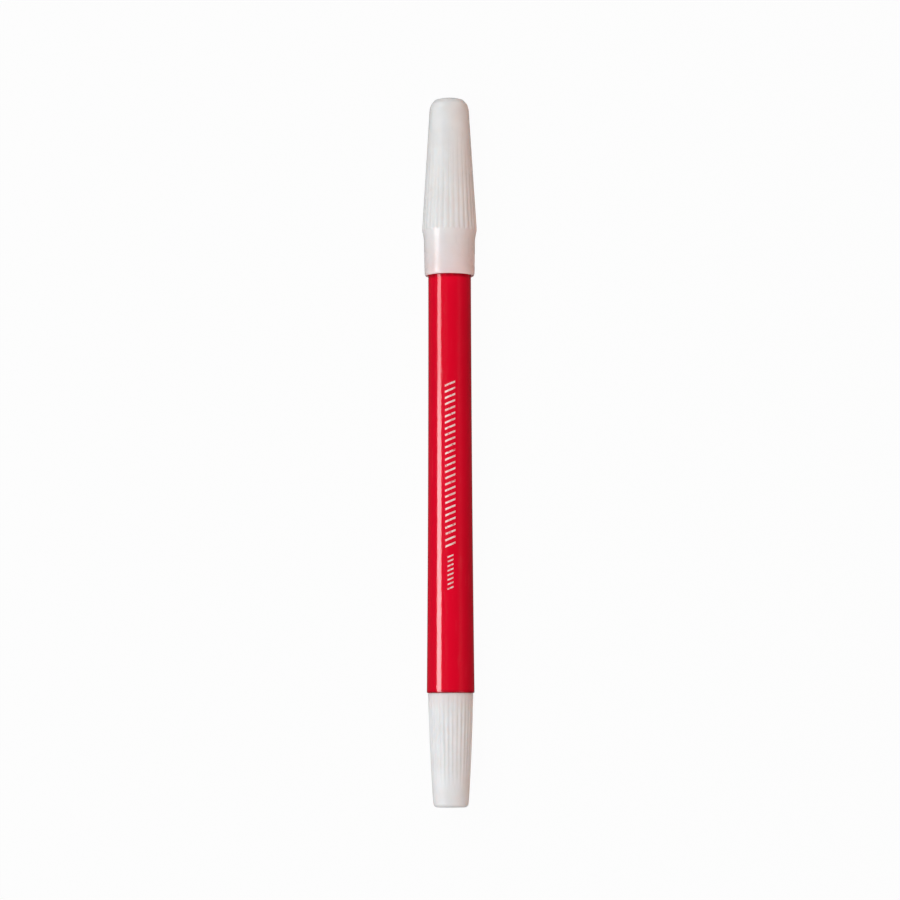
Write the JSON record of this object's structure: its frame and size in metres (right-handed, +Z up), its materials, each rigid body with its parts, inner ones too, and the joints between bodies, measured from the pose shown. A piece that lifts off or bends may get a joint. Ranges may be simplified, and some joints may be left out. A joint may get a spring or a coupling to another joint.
{
  "type": "sign pen",
  "caption": "Capped fibre-tip sign pen with a tapered red barrel, a white fluted push-on cap that slides off the nib and a white fluted tail plug.",
  "frame": {"origin": "on the surface that the pen lies on, under the middle of its length", "axes": "+Y along the pen's axis from the tail to the cap, +Z up, +X to the right when seen from above with the cap at the top, as in the picture"},
  "size_m": [0.0112, 0.145, 0.0112],
  "materials": {
    "barrel_red": "glossy moulded polypropylene",
    "holder_red": "satin moulded polypropylene",
    "cap_white": "satin, slightly translucent moulded polypropylene",
    "tail_white": "satin, slightly translucent moulded polypropylene",
    "nib_fibre": "bonded fibre soaked with red ink",
    "ink_fibre": "loose fibre soaked with red ink",
    "clear_film": "clear film"
  },
  "bodies": {
    "pen": {"barrel": "barrel_red", "tail_plug": "tail_white", "ink_reservoir": "ink_fibre", "reservoir_film": "clear_film", "nib_holder": "holder_red", "nib": "nib_fibre"},
    "cap": {"cap": "cap_white"}
  },
  "joints": [
    {"name": "cap_pull", "type": "slide", "parent": "pen", "child": "cap", "axis": [0, 1, 0], "range_m": [0, 0.045]}
  ]
}
